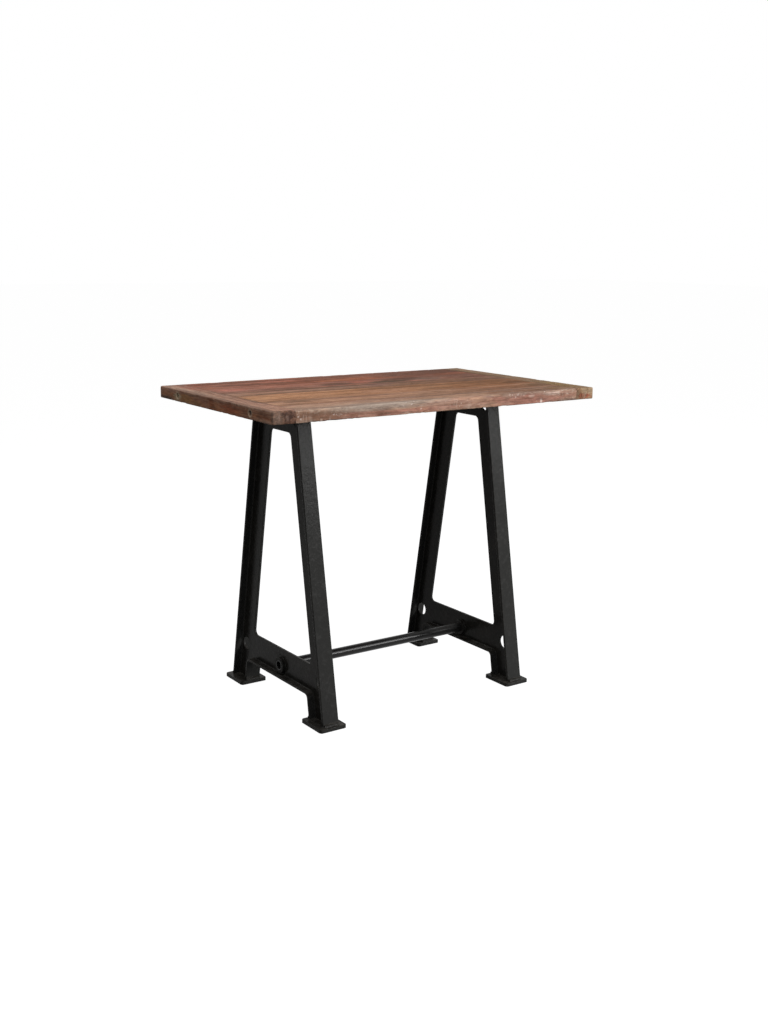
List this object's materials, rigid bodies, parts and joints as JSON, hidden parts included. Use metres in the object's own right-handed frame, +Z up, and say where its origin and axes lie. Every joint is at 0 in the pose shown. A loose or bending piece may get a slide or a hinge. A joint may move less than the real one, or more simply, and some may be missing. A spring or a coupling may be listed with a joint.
{
  "type": "bar table",
  "caption": "Bar-height table with a reclaimed plank top between end boards, on cast iron A-frames joined low down by a stretcher pipe.",
  "frame": {"origin": "on the floor, under the middle of the tabletop", "axes": "+X along the tabletop's length, +Y across it towards the back, +Z up"},
  "size_m": [1.27, 0.76, 1.05],
  "materials": {
    "plank_wood": "worn reclaimed boards, matt to satin",
    "end_board_wood": "worn reclaimed boards with dark stains, matt to satin",
    "tongue_wood": "planed, bare",
    "black_iron": "blackened casting with a satin coat",
    "black_pipe": "black, satin",
    "dark_steel": "blackened steel"
  },
  "bodies": {
    "root": {"top_plank_1": "plank_wood", "top_plank_2": "plank_wood", "top_plank_3": "plank_wood", "top_plank_4": "plank_wood", "top_plank_5": "plank_wood", "top_plank_6": "plank_wood", "end_board_left": "end_board_wood", "end_board_right": "end_board_wood", "plank_tongue_1": "tongue_wood", "plank_tongue_2": "tongue_wood", "plank_tongue_3": "tongue_wood", "plank_tongue_4": "tongue_wood", "plank_tongue_5": "tongue_wood", "end_tongue_left": "tongue_wood", "end_tongue_right": "tongue_wood", "frame_left": "black_iron", "frame_right": "black_iron", "stretcher_pipe": "black_pipe", "end_bolts": "dark_steel", "end_bolt_washers": "dark_steel", "set_screws": "dark_steel", "frame_screws": "dark_steel", "frame_washers": "dark_steel"}
  },
  "joints": []
}
